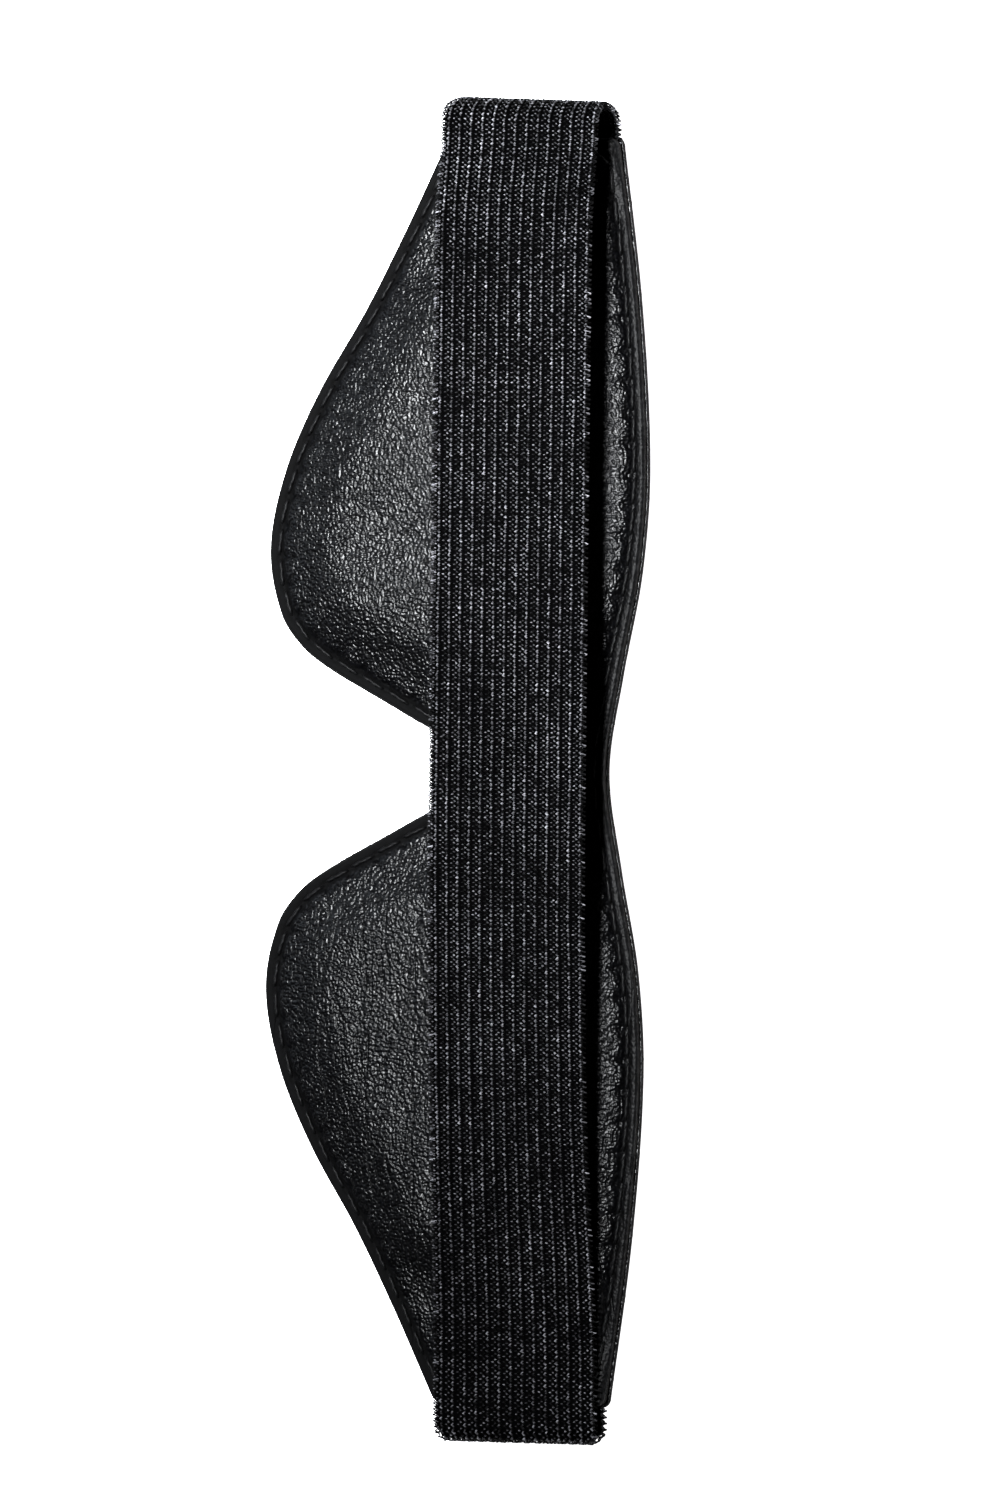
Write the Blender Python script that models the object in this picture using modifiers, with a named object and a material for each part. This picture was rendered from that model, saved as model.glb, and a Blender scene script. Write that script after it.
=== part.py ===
"""A padded leather eye mask with a wide elastic strap, lying on its front face.

Two leather panels are sewn together round their rim, with a foam pad over each eye between them.
The elastic strap's ends are caught between the panels, fold back past the ends of the leather, and
the strap lies in a low arch over the lining. Units are metres.

+X runs along the mask towards the wearer's right eye, +Y from the cheeks to the brow, and +Z from the
front face, which is down, to the wearer's side. The origin is at the middle of the base.
"""

import math

import bpy
import bmesh
from mathutils.kdtree import KDTree

MM = 0.001

# The mask's outline, as (distance from the middle, height from the strap's centreline).
LEATHER_HALF_LENGTH = 114.5 * MM
BROW_EDGE = [(0.0, 14.9), (17.5, 17.4), (36.0, 20.8), (55.0, 22.0), (84.0, 20.2), (114.5, 16.3)]
CHEEK_EDGE = [
    (0.0, -11.0), (4.5, -14.2), (10.9, -25.3), (18.1, -38.3), (22.0, -43.6), (28.0, -47.8),
    (40.0, -50.1), (54.3, -47.3), (68.6, -41.0), (83.0, -32.4), (97.6, -24.8), (114.5, -16.7),
]

# The layers, from the front face up.
FRONT_THICKNESS = 1.5 * MM
LINING_THICKNESS = 1.3 * MM
LAYER_GAP = 0.3 * MM
FOAM_GAP = 0.5 * MM
RIM_LIFT = 1.9 * MM            # the rim's underside above the flat of the front face
LINING_SWELL = 2.5 * MM        # how far the padding lifts the lining over the rim
END_SPREAD = 0.8 * MM          # how far each panel moves out to make room for the strap's tab

# Where the padding rises and falls.
FLAT_RIM = 3.0 * MM
SWELL_END = 14.5 * MM
BRIDGE_FLAT = 8.0 * MM
BRIDGE_SWELL_END = 24.0 * MM
END_SWELL_START = 82.0 * MM
END_SWELL_STOP = 96.0 * MM
END_SPREAD_START = 83.0 * MM
END_SPREAD_STOP = 97.0 * MM

FOAM_INNER_END = 18.0 * MM
FOAM_OUTER_END = 86.0 * MM
FOAM_INSET = 7.0 * MM

# The elastic strap.
STRAP_WIDTH = 30.0 * MM
STRAP_THICKNESS = 1.3 * MM
STRAP_HALF_REACH = 121.2 * MM
TAB_DEPTH = 16.0 * MM
STRAP_CUT = 112.0 * MM         # where the moving run ends and the folded ends begin
TAB_HEIGHT = RIM_LIFT - END_SPREAD + FRONT_THICKNESS + LAYER_GAP + STRAP_THICKNESS / 2
LEFT_FOLD_TOP = 13.0 * MM
RIGHT_FOLD_TOP = 7.7 * MM
ARCH = [
    (-100.0, 15.5), (-70.0, 15.9), (-20.0, 16.0), (20.0, 15.8), (45.0, 14.6),
    (67.0, 12.8), (82.0, 10.7), (97.0, 8.6), (108.0, 7.8),
]

# The sewing.
THREAD_RADIUS = 0.3 * MM
SEAM_INSET = 2.2 * MM
SEAM_STEP = 6.0 * MM
ANCHOR_SEAM_DEPTH = 8.0 * MM
ANCHOR_SEAM_LENGTH = 26.0 * MM

# How finely the panels are divided.
PANEL_COLUMNS = 54
EDGE_ROWS = [0.0, 2.5 * MM, 5.5 * MM, 8.5 * MM, 11.5 * MM, SWELL_END]
MIDDLE_ROWS = 3
FOAM_COLUMNS = 17
FOAM_ROWS = 11

LEATHER_BLACK = (0.018, 0.019, 0.024, 1.0)
LINING_BLACK = (0.026, 0.028, 0.036, 1.0)
ELASTIC_BLACK = (0.012, 0.012, 0.013, 1.0)
THREAD_BLACK = (0.010, 0.010, 0.011, 1.0)
FOAM_GREY = (0.10, 0.10, 0.11, 1.0)


def smooth_step(start, stop, value):
    """0 before start, 1 after stop, and a smooth rise between them. start may be the larger."""
    share = min(max((value - start) / (stop - start), 0.0), 1.0)
    return share * share * (3.0 - 2.0 * share)


def smooth_curve(points):
    """A function whose curve runs smoothly through the points and is level at the first one."""
    count = len(points)
    slopes = [0.0]
    for (x0, y0), (x2, y2) in zip(points[:-2], points[2:]):
        slopes.append((y2 - y0) / (x2 - x0))
    (x0, y0), (x1, y1) = points[-2:]
    slopes.append((y1 - y0) / (x1 - x0))

    def height(x):
        index = 0
        while index < count - 2 and x > points[index + 1][0]:
            index += 1
        (xa, ya), (xb, yb) = points[index], points[index + 1]
        span = xb - xa
        t = (x - xa) / span
        return (
            ya * (1 + 2 * t) * (1 - t) ** 2
            + slopes[index] * span * t * (1 - t) ** 2
            + yb * t * t * (3 - 2 * t)
            + slopes[index + 1] * span * t * t * (t - 1)
        )

    return height


def in_metres(points):
    return [(x * MM, y * MM) for x, y in points]


brow_from_strap = smooth_curve(in_metres(BROW_EDGE))
cheek_from_strap = smooth_curve(in_metres(CHEEK_EDGE))


def strap_centre_y():
    """The strap's centreline, placed so that the outline's middle is at Y = 0."""
    steps = [LEATHER_HALF_LENGTH * i / 400 for i in range(401)]
    highest = max(brow_from_strap(x) for x in steps)
    lowest = min(cheek_from_strap(x) for x in steps)
    return -(highest + lowest) / 2


STRAP_Y = strap_centre_y()


def brow_y(x):
    return brow_from_strap(abs(x)) + STRAP_Y


def cheek_y(x):
    return cheek_from_strap(abs(x)) + STRAP_Y


def lean(edge, x):
    """How much longer a step along the edge is than its run in X."""
    step = 0.2 * MM
    return math.hypot(1.0, (edge(x + step) - edge(x - step)) / (2 * step))


def outline_tree():
    """The outline as a tree of closely spaced points, to measure distances from it."""
    points = []
    across = 500
    for i in range(across + 1):
        x = -LEATHER_HALF_LENGTH + 2 * LEATHER_HALF_LENGTH * i / across
        points.append((x, brow_y(x), 0.0))
        points.append((x, cheek_y(x), 0.0))
    for side in (-LEATHER_HALF_LENGTH, LEATHER_HALF_LENGTH):
        for i in range(81):
            share = i / 80
            points.append((side, cheek_y(side) * (1 - share) + brow_y(side) * share, 0.0))
    tree = KDTree(len(points))
    for index, point in enumerate(points):
        tree.insert(point, index)
    tree.balance()
    return tree


OUTLINE = outline_tree()


def fill(x, y):
    """How far the padding is risen here, from 0 at the rim, the bridge and the ends to 1 over the eye."""
    distance = OUTLINE.find((x, y, 0.0))[2]
    return (
        smooth_step(FLAT_RIM, SWELL_END, distance)
        * smooth_step(BRIDGE_FLAT, BRIDGE_SWELL_END, abs(x))
        * smooth_step(END_SWELL_STOP, END_SWELL_START, abs(x))
    )


def end_spread(x):
    return END_SPREAD * smooth_step(END_SPREAD_START, END_SPREAD_STOP, abs(x))


def front_underside(x, y):
    return RIM_LIFT * (1.0 - fill(x, y)) - end_spread(x)


def lining_underside(x, y):
    rim = RIM_LIFT + FRONT_THICKNESS + LAYER_GAP
    return rim + LINING_SWELL * fill(x, y) + end_spread(x)


def material(name, colour, roughness):
    made = bpy.data.materials.new(name)
    made.use_nodes = True
    shader = made.node_tree.nodes["Principled BSDF"]
    shader.inputs["Base Color"].default_value = colour
    shader.inputs["Roughness"].default_value = roughness
    shader.inputs["Metallic"].default_value = 0.0
    made.diffuse_color = colour
    return made


def clear_scene():
    for obj in list(bpy.data.objects):
        bpy.data.objects.remove(obj, do_unlink=True)


def finish(obj, collection, finish_material):
    """Gives the object its material and moves it to the part's collection."""
    obj.data.materials.append(finish_material)
    for old in list(obj.users_collection):
        old.objects.unlink(obj)
    collection.objects.link(obj)


def grid(name, columns, rows):
    """A flat grid object, and its vertices' (column, row) by index."""
    bpy.ops.mesh.primitive_grid_add(x_subdivisions=columns, y_subdivisions=rows, size=2.0)
    obj = bpy.context.object
    obj.name = name
    obj.data.name = name
    places = []
    for vertex in obj.data.vertices:
        column = round((vertex.co.x + 1.0) / 2.0 * columns)
        row = round((vertex.co.y + 1.0) / 2.0 * rows)
        places.append((column, row))
    return obj, places


def panel_rows(x):
    """The Y of each row of a panel at x: close together near both edges, where the padding rises."""
    low = cheek_y(x)
    high = brow_y(x)
    low_lean = lean(cheek_y, x)
    high_lean = lean(brow_y, x)
    fit = min(1.0, 0.94 * (high - low) / (SWELL_END * (low_lean + high_lean)))
    lower = [low + depth * low_lean * fit for depth in EDGE_ROWS]
    upper = [high - depth * high_lean * fit for depth in reversed(EDGE_ROWS)]
    middle = []
    for i in range(1, MIDDLE_ROWS):
        middle.append(lower[-1] + (upper[0] - lower[-1]) * i / MIDDLE_ROWS)
    return lower + middle + upper


def leather_panel(name, height, thickness, collection, finish_material):
    """One leather panel: a sheet over the outline at the given height, thickened upwards."""
    rows = 2 * (len(EDGE_ROWS) - 1) + MIDDLE_ROWS
    obj, places = grid(name, PANEL_COLUMNS, rows)
    for vertex, (column, row) in zip(obj.data.vertices, places):
        x = LEATHER_HALF_LENGTH * (2.0 * column / PANEL_COLUMNS - 1.0)
        y = panel_rows(x)[row]
        vertex.co = (x, y, height(x, y))
    shell = obj.modifiers.new("Leather thickness", "SOLIDIFY")
    shell.thickness = thickness
    shell.offset = 1.0
    finish(obj, collection, finish_material)


def foam_pad(name, side, collection, finish_material):
    """The pad over one eye: it fills the space between the panels, short of the rim."""
    obj, places = grid(name, FOAM_COLUMNS, FOAM_ROWS)
    mesh = bmesh.new()
    mesh.from_mesh(obj.data)
    mesh.verts.ensure_lookup_table()
    for vertex, (column, row) in zip(mesh.verts, places):
        along = column / FOAM_COLUMNS
        x = side * (FOAM_INNER_END + (FOAM_OUTER_END - FOAM_INNER_END) * along)
        low = cheek_y(x) + FOAM_INSET * lean(cheek_y, x)
        high = brow_y(x) - FOAM_INSET * lean(brow_y, x)
        y = low + (high - low) * row / FOAM_ROWS
        vertex.co = (x, y, front_underside(x, y) + FRONT_THICKNESS + FOAM_GAP)
    raised = bmesh.ops.extrude_face_region(mesh, geom=mesh.faces[:])
    for piece in raised["geom"]:
        if isinstance(piece, bmesh.types.BMVert):
            piece.co.z = lining_underside(piece.co.x, piece.co.y) - FOAM_GAP
    bmesh.ops.recalc_face_normals(mesh, faces=mesh.faces[:])
    mesh.to_mesh(obj.data)
    mesh.free()
    finish(obj, collection, finish_material)


def arch_height(x):
    """The height of the strap's middle surface over the lining."""
    left_start = (-(STRAP_HALF_REACH - STRAP_THICKNESS / 2) + fold_radius(LEFT_FOLD_TOP), LEFT_FOLD_TOP)
    right_end = (STRAP_HALF_REACH - STRAP_THICKNESS / 2 - fold_radius(RIGHT_FOLD_TOP), RIGHT_FOLD_TOP)
    return smooth_curve([left_start] + in_metres(ARCH) + [right_end])(x)


def fold_radius(top):
    """The radius of the fold that brings the strap from its tab up to this height."""
    return (top - TAB_HEIGHT) / 2


def fold_route(side, top, steps):
    """The folded end of the strap in X and Z: its tab, the fold, and the start of the run over it."""
    radius = fold_radius(top)
    centre_x = STRAP_HALF_REACH - STRAP_THICKNESS / 2 - radius
    route = [(side * (LEATHER_HALF_LENGTH - TAB_DEPTH), TAB_HEIGHT)]
    for i in range(steps + 1):
        turn = math.pi * (i / steps - 0.5)
        x = centre_x + radius * math.cos(turn)
        route.append((side * x, TAB_HEIGHT + radius + radius * math.sin(turn)))
    cut = STRAP_CUT + LAYER_GAP / 2
    for share in (0.5, 1.0):
        x = side * (centre_x + (cut - centre_x) * share)
        route.append((x, arch_height(x)))
    return route


def run_route(steps):
    """The part of the strap that moves: the arch between the two folded ends."""
    reach = STRAP_CUT - LAYER_GAP / 2
    route = []
    for i in range(steps + 1):
        x = -reach + 2 * reach * i / steps
        route.append((x, arch_height(x)))
    return route


def strap_piece(name, route, collection, finish_material):
    """A stretch of the elastic along a route in X and Z, with the strap's width and thickness."""
    obj, places = grid(name, len(route) - 1, 1)
    for vertex, (column, row) in zip(obj.data.vertices, places):
        x, z = route[column]
        vertex.co = (x, STRAP_Y + STRAP_WIDTH * (row - 0.5), z)
    shell = obj.modifiers.new("Elastic thickness", "SOLIDIFY")
    shell.thickness = STRAP_THICKNESS
    shell.offset = 0.0
    finish(obj, collection, finish_material)


def thread(name, points, closed, collection, finish_material):
    """A sewing thread: a thin tube along the points."""
    curve = bpy.data.curves.new(name, "CURVE")
    curve.dimensions = "3D"
    curve.bevel_depth = THREAD_RADIUS
    curve.bevel_resolution = 1
    curve.use_fill_caps = not closed
    spline = curve.splines.new("POLY")
    spline.points.add(len(points) - 1)
    spline.use_cyclic_u = closed
    for place, point in zip(spline.points, points):
        place.co = (*point, 1.0)
    obj = bpy.data.objects.new(name, curve)
    bpy.context.scene.collection.objects.link(obj)
    finish(obj, collection, finish_material)


def edge_seam_plan():
    """The edge seam's path in X and Y, once round the mask at an even distance from its edge."""
    reach = LEATHER_HALF_LENGTH - SEAM_INSET
    steps = round(2 * reach / SEAM_STEP)
    xs = [-reach + 2 * reach * i / steps for i in range(steps + 1)]
    brow = [(x, brow_y(x) - SEAM_INSET * lean(brow_y, x)) for x in xs]
    cheek = [(x, cheek_y(x) + SEAM_INSET * lean(cheek_y, x)) for x in reversed(xs)]

    def across(start, end):
        count = round(abs(end[1] - start[1]) / SEAM_STEP)
        return [(start[0], start[1] + (end[1] - start[1]) * i / count) for i in range(1, count)]

    return brow + across(brow[-1], cheek[0]) + cheek + across(cheek[-1], brow[0])


def lining_seam_height(x, y):
    return lining_underside(x, y) + LINING_THICKNESS + LAYER_GAP + THREAD_RADIUS


def front_seam_height(x, y):
    """The front side's thread lies in the gap that the rim leaves over the table."""
    return front_underside(x, y) - LAYER_GAP - THREAD_RADIUS


def anchor_seam_plan(side):
    x = side * (LEATHER_HALF_LENGTH - ANCHOR_SEAM_DEPTH)
    half = ANCHOR_SEAM_LENGTH / 2
    return [(x, STRAP_Y + half * share) for share in (-1.0, -0.5, 0.0, 0.5, 1.0)]


def build_panels(collection):
    front = material("front_leather", LEATHER_BLACK, 0.48)
    lining = material("lining_leather", LINING_BLACK, 0.42)
    leather_panel("front_leather_panel", front_underside, FRONT_THICKNESS, collection, front)
    leather_panel("lining_leather_panel", lining_underside, LINING_THICKNESS, collection, lining)


def build_foam(collection):
    foam = material("foam", FOAM_GREY, 0.95)
    foam_pad("foam_pad_left", -1, collection, foam)
    foam_pad("foam_pad_right", 1, collection, foam)


def build_strap(collection):
    elastic = material("knitted_elastic", ELASTIC_BLACK, 0.85)
    strap_piece("elastic_strap", run_route(44), collection, elastic)
    strap_piece("strap_end_left", fold_route(-1, LEFT_FOLD_TOP, 14), collection, elastic)
    strap_piece("strap_end_right", fold_route(1, RIGHT_FOLD_TOP, 10), collection, elastic)


def build_seams(collection):
    black = material("sewing_thread", THREAD_BLACK, 0.55)
    plan = edge_seam_plan()
    for kind, height in (("needle", lining_seam_height), ("bobbin", front_seam_height)):
        edge = [(x, y, height(x, y)) for x, y in plan]
        thread(f"edge_seam_{kind}_thread", edge, True, collection, black)
        for side, word in ((-1, "left"), (1, "right")):
            anchor = [(x, y, height(x, y)) for x, y in anchor_seam_plan(side)]
            thread(f"anchor_seam_{word}_{kind}_thread", anchor, False, collection, black)


def main():
    clear_scene()
    collection = bpy.data.collections.new("eye_mask")
    bpy.context.scene.collection.children.link(collection)
    build_panels(collection)
    build_foam(collection)
    build_strap(collection)
    build_seams(collection)


main()
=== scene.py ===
"""The looks of a padded leather eye mask with a wide elastic strap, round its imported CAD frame.

Everything is in metres in the CAD's frame: +X along the mask, +Y towards the brow, +Z towards the
wearer's side. Lengths written in millimetres are multiplied by MM.
"""

import math

import bpy
import numpy as np
from mathutils import Matrix, Vector
from mathutils.kdtree import KDTree


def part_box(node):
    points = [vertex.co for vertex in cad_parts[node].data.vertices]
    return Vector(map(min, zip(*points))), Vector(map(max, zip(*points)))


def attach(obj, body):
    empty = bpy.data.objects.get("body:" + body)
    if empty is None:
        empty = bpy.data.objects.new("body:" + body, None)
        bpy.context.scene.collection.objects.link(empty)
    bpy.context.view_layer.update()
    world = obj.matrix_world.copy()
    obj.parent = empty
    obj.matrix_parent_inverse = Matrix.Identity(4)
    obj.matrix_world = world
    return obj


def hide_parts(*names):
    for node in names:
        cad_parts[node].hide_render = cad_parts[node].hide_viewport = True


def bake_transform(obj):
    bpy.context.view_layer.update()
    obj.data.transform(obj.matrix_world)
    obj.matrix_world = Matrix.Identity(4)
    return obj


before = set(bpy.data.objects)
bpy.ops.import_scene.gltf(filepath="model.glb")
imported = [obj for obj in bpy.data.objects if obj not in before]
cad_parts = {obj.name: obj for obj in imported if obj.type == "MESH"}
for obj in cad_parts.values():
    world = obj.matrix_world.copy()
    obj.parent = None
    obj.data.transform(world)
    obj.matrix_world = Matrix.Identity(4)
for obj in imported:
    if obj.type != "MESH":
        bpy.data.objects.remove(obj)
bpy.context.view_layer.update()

MM = 0.001

# The frame's own places.
LINING_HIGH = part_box("lining_leather_panel")[1]
STRAP_LOW, STRAP_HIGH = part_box("elastic_strap")
LEATHER_HALF_LENGTH = LINING_HIGH.x
STRAP_Y = (STRAP_LOW.y + STRAP_HIGH.y) / 2
STRAP_WIDTH = STRAP_HIGH.y - STRAP_LOW.y
STRAP_HALF_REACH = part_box("strap_end_right")[1].x

# The outline, as in the CAD: (distance from the middle, height from the strap's centreline), in mm.
BROW_EDGE = [(0.0, 14.9), (17.5, 17.4), (36.0, 20.8), (55.0, 22.0), (84.0, 20.2), (114.5, 16.3)]
CHEEK_EDGE = [
    (0.0, -11.0), (4.5, -14.2), (10.9, -25.3), (18.1, -38.3), (22.0, -43.6), (28.0, -47.8),
    (40.0, -50.1), (54.3, -47.3), (68.6, -41.0), (83.0, -32.4), (97.6, -24.8), (114.5, -16.7),
]
CORNER_RADIUS = 1.5 * MM
SEAM_CORNER_RADIUS = 5.0 * MM
LINING_RECESS = 0.3 * MM       # how far the lining's cut edge stands back from the front panel's

# The layers, as in the CAD.
RIM_LIFT = 1.9 * MM
FRONT_THICKNESS = 1.5 * MM
LINING_THICKNESS = 1.3 * MM
LAYER_GAP = 0.3 * MM
MIDDLE_HEIGHT = RIM_LIFT + FRONT_THICKNESS + LAYER_GAP / 2
END_SPREAD = 0.8 * MM
LINING_SWELL = 2.5 * MM
PAD_START = 2.6 * MM           # how far in from the edge the padding's swell starts,
PAD_FULL = 14.5 * MM           # and where it is complete
PAD_INNER_START = 3.0 * MM     # the same start on the faces that the foam touches
EDGE_ROUNDING = 0.45 * MM      # how far the rim of a panel rounds over, beside its cut edge,
EDGE_ROUNDING_WIDTH = 0.55 * MM    # and over what width
EDGE_LAYERS = 5                # how many bands of quads make up a cut edge
GRID_CLEARANCE = 0.04 * MM     # keeps the panels' hidden faces just off the middle
INNER_SPREAD = 0.88            # the share of the end's spread that a hidden face follows

# The sewing.
SEAM_INSET = 2.2 * MM
STITCH_LENGTH = 5.6 * MM
THREAD_RADIUS = 0.36 * MM
HOLE_WIDTH = 0.9 * MM          # how far along the seam the pull of one needle hole reaches
HOLE_OFFSET = 0.3 * MM         # from the middle of a hole to the end of its stitch
STITCH_CROWN = 0.12 * MM
CREASES = 46

# The strap, as in the CAD.
STRAP_THICKNESS = 1.3 * MM
TAB_DEPTH = 16.0 * MM
TAB_HEIGHT = MIDDLE_HEIGHT
LEFT_FOLD_TOP = 13.0 * MM
RIGHT_FOLD_TOP = 7.7 * MM
ARCH = [
    (-100.0, 15.5), (-70.0, 15.9), (-20.0, 16.0), (20.0, 15.8), (45.0, 14.6),
    (67.0, 12.8), (82.0, 10.7), (97.0, 8.6), (108.0, 7.8),
]
TAB_SKEW = 1.3 * MM            # the left end is sewn in a little towards the brow
FOLD_SLANT = 1.1 * MM          # the left fold isn't quite square to the strap
RIGHT_SKEW = 0.5 * MM          # the right end is sewn in towards the brow too, by less
LEFT_DRAW_IN = 2.2 * MM        # how far the edges come in where the strap folds back
RIGHT_DRAW_IN = 1.5 * MM
RELAXED_WIDENING = 0.05        # the slack right end is wider than the drawn middle

# The knit.
WALES = 28
COURSE_LENGTH = 0.86 * MM
YARN_RADIUS = 0.18 * MM
NET_WIDTH = 0.9 * MM           # the open selvedge along each edge of the strap
SELVEDGE_RADIUS = 0.15 * MM
YARN_HEIGHT = 0.47 * MM        # from the strap's middle surface to the stitches of either face
CORE_HALF_THICKNESS = 0.34 * MM
RIB_HEIGHT = 0.05 * MM
YARN_SIDES = 4                 # the stitches are square-sided tubes,
OUTER_STEPS = 4                # with this many rings to a row on the outer face
INNER_STEPS = 2                # and on the inner one

# The surfaces.
GRAIN_HEIGHT = 0.26 * MM
LINING_GRAIN = 0.72 * MM       # from one pebble of the grain to the next
FRONT_GRAIN = 0.9 * MM
CREASE_HEADING = 128           # degrees from +X, for the creases and the finer lines between them


# ---- numbers

def smooth_step(start, stop, value):
    """0 before start, 1 after stop, and a smooth rise between them. start may be the larger."""
    share = np.clip((value - start) / (stop - start), 0.0, 1.0)
    return share * share * (3.0 - 2.0 * share)


def smooth_curve(points):
    """A function of arrays: a smooth curve through points in millimetres, which starts level."""
    xs = np.array([p[0] for p in points]) * MM
    ys = np.array([p[1] for p in points]) * MM
    slopes = np.zeros(len(xs))
    slopes[1:-1] = (ys[2:] - ys[:-2]) / (xs[2:] - xs[:-2])
    slopes[-1] = (ys[-1] - ys[-2]) / (xs[-1] - xs[-2])

    def height(x):
        x = np.asarray(x, float)
        i = np.clip(np.searchsorted(xs, x, side="right") - 1, 0, len(xs) - 2)
        span = xs[i + 1] - xs[i]
        t = (x - xs[i]) / span
        return (
            ys[i] * (1 + 2 * t) * (1 - t) ** 2
            + slopes[i] * span * t * (1 - t) ** 2
            + ys[i + 1] * t * t * (3 - 2 * t)
            + slopes[i + 1] * span * t * t * (t - 1)
        )

    return height


brow_from_strap = smooth_curve(BROW_EDGE)
cheek_from_strap = smooth_curve(CHEEK_EDGE)


# ---- meshes

def mesh_object(name, vertices, faces, materials, face_materials=None):
    """A mesh object from arrays, smooth shaded, in the scene."""
    mesh = bpy.data.meshes.new(name)
    mesh.from_pydata(np.asarray(vertices).tolist(), [], faces)
    for made in materials:
        mesh.materials.append(made)
    if face_materials is not None:
        mesh.polygons.foreach_set("material_index", np.asarray(face_materials, np.int32))
    mesh.polygons.foreach_set("use_smooth", np.full(len(mesh.polygons), True))
    mesh.update()
    obj = bpy.data.objects.new(name, mesh)
    bpy.context.scene.collection.objects.link(obj)
    return obj


def point_attribute(obj, name, values):
    """Stores one number per vertex for a material to read."""
    attribute = obj.data.attributes.new(name, "FLOAT", "POINT")
    attribute.data.foreach_set("value", np.asarray(values, np.float32).ravel())


def loft_faces(loops, size):
    """Quads between successive closed loops of equal size."""
    i = np.arange(loops - 1)[:, None]
    j = np.arange(size)[None, :]
    a = i * size + j
    b = i * size + (j + 1) % size
    c = (i + 1) * size + (j + 1) % size
    d = (i + 1) * size + j
    return np.stack([a, b, c, d], axis=-1).reshape(-1, 4)


def tube_points(centres, ups, radii, sides):
    """The rings of round tubes, one tube for each row of centres. ups point out of the fabric."""
    tangents = np.gradient(centres, axis=1)
    tangents /= np.linalg.norm(tangents, axis=2, keepdims=True)
    across = np.cross(ups, tangents)
    across /= np.linalg.norm(across, axis=2, keepdims=True)
    outward = np.cross(tangents, across)
    turn = 2 * np.pi * (np.arange(sides) + 0.5) / sides
    ring = (
        np.cos(turn)[:, None] * across[:, :, None, :]
        + np.sin(turn)[:, None] * outward[:, :, None, :]
    )
    reach = np.broadcast_to(np.asarray(radii, float), centres.shape[:2] + (sides,))
    return centres[:, :, None, :] + ring * reach[..., None]


def tube_mesh(rings):
    """Capped tubes from their rings, as (vertices, faces)."""
    count, length, sides, _ = rings.shape
    one = loft_faces(length, sides)
    starts = np.arange(count) * length * sides
    faces = (one[None] + starts[:, None, None]).reshape(-1, 4).tolist()
    for start in starts.tolist():
        last = start + (length - 1) * sides
        faces.append(list(range(start + sides - 1, start - 1, -1)))
        faces.append(list(range(last, last + sides)))
    return rings.reshape(-1, 3), faces


def merged(parts):
    """Several (vertices, faces) as one."""
    vertices, faces, start = [], [], 0
    for points, quads in parts:
        vertices.append(points)
        faces += [[index + start for index in face] for face in quads]
        start += len(points)
    return np.concatenate(vertices), faces


# ---- outline and seam

def corner_cut(x, radius):
    """How far a rounded end corner takes the edge in at x."""
    into = np.clip(np.abs(x) - (LEATHER_HALF_LENGTH - radius), 0.0, radius)
    return radius - np.sqrt(radius * radius - into * into)


def brow_y(x, radius=CORNER_RADIUS):
    """The Y of the front panel's edge on the brow side."""
    return brow_from_strap(np.abs(x)) + STRAP_Y - corner_cut(x, radius)


def cheek_y(x, radius=CORNER_RADIUS):
    """The Y of the front panel's edge on the cheek side."""
    return cheek_from_strap(np.abs(x)) + STRAP_Y + corner_cut(x, radius)


class Loop:
    """A closed line in X and Y, evenly resampled, with lengths along it and distances from it."""

    def __init__(self, points, step=0.1 * MM):
        ring = np.vstack([points, points[:1]])
        lengths = np.concatenate([[0.0], np.cumsum(np.linalg.norm(np.diff(ring, axis=0), axis=1))])
        self.length = lengths[-1]
        count = round(self.length / step)
        self.along = self.length * np.arange(count) / count
        self.points = np.stack([np.interp(self.along, lengths, ring[:, k]) for k in (0, 1)], axis=1)
        ahead = np.roll(self.points, -3, axis=0) - np.roll(self.points, 3, axis=0)
        self.tangents = ahead / np.linalg.norm(ahead, axis=1, keepdims=True)
        self.inward = np.stack([-self.tangents[:, 1], self.tangents[:, 0]], axis=1)
        self.tree = KDTree(count)
        for index, (x, y) in enumerate(self.points):
            self.tree.insert((x, y, 0.0), index)
        self.tree.balance()

    def measure(self, x, y):
        """How far each point is inside the line, and the length along it of the nearest place."""
        flat = np.stack([np.ravel(x), np.ravel(y)], axis=1)
        nearest = np.array([self.tree.find((px, py, 0.0))[1] for px, py in flat])
        away = flat - self.points[nearest]
        depth = (away * self.inward[nearest]).sum(axis=1)
        along = self.along[nearest] + (away * self.tangents[nearest]).sum(axis=1)
        return depth.reshape(np.shape(x)), along.reshape(np.shape(x))

    def at(self, along):
        """The point and the inward direction at each length along the line."""
        place = np.mod(along, self.length) / self.length * len(self.along)
        low = np.floor(place).astype(int) % len(self.along)
        high = (low + 1) % len(self.along)
        share = (place - np.floor(place))[:, None]
        point = self.points[low] * (1 - share) + self.points[high] * share
        inward = self.inward[low] * (1 - share) + self.inward[high] * share
        return point, inward / np.linalg.norm(inward, axis=1, keepdims=True)


def outline_points(radius, inset=0.0):
    """The outline, counter-clockwise from above, with rounded end corners, moved in by inset."""
    middle = np.arange(-LEATHER_HALF_LENGTH + radius, LEATHER_HALF_LENGTH - radius, 0.2 * MM)
    turn = np.radians(np.arange(1, 90, 3))
    tail = LEATHER_HALF_LENGTH - radius + radius * np.sin(turn)
    xs = np.concatenate([-tail[::-1], middle, tail])
    cheek = np.stack([xs, cheek_y(xs, radius)], axis=1)
    brow = np.stack([xs[::-1], brow_y(xs[::-1], radius)], axis=1)
    ring = np.vstack([cheek, brow])
    if not inset:
        return ring
    loop = Loop(ring)
    return loop.points + loop.inward * inset


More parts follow.
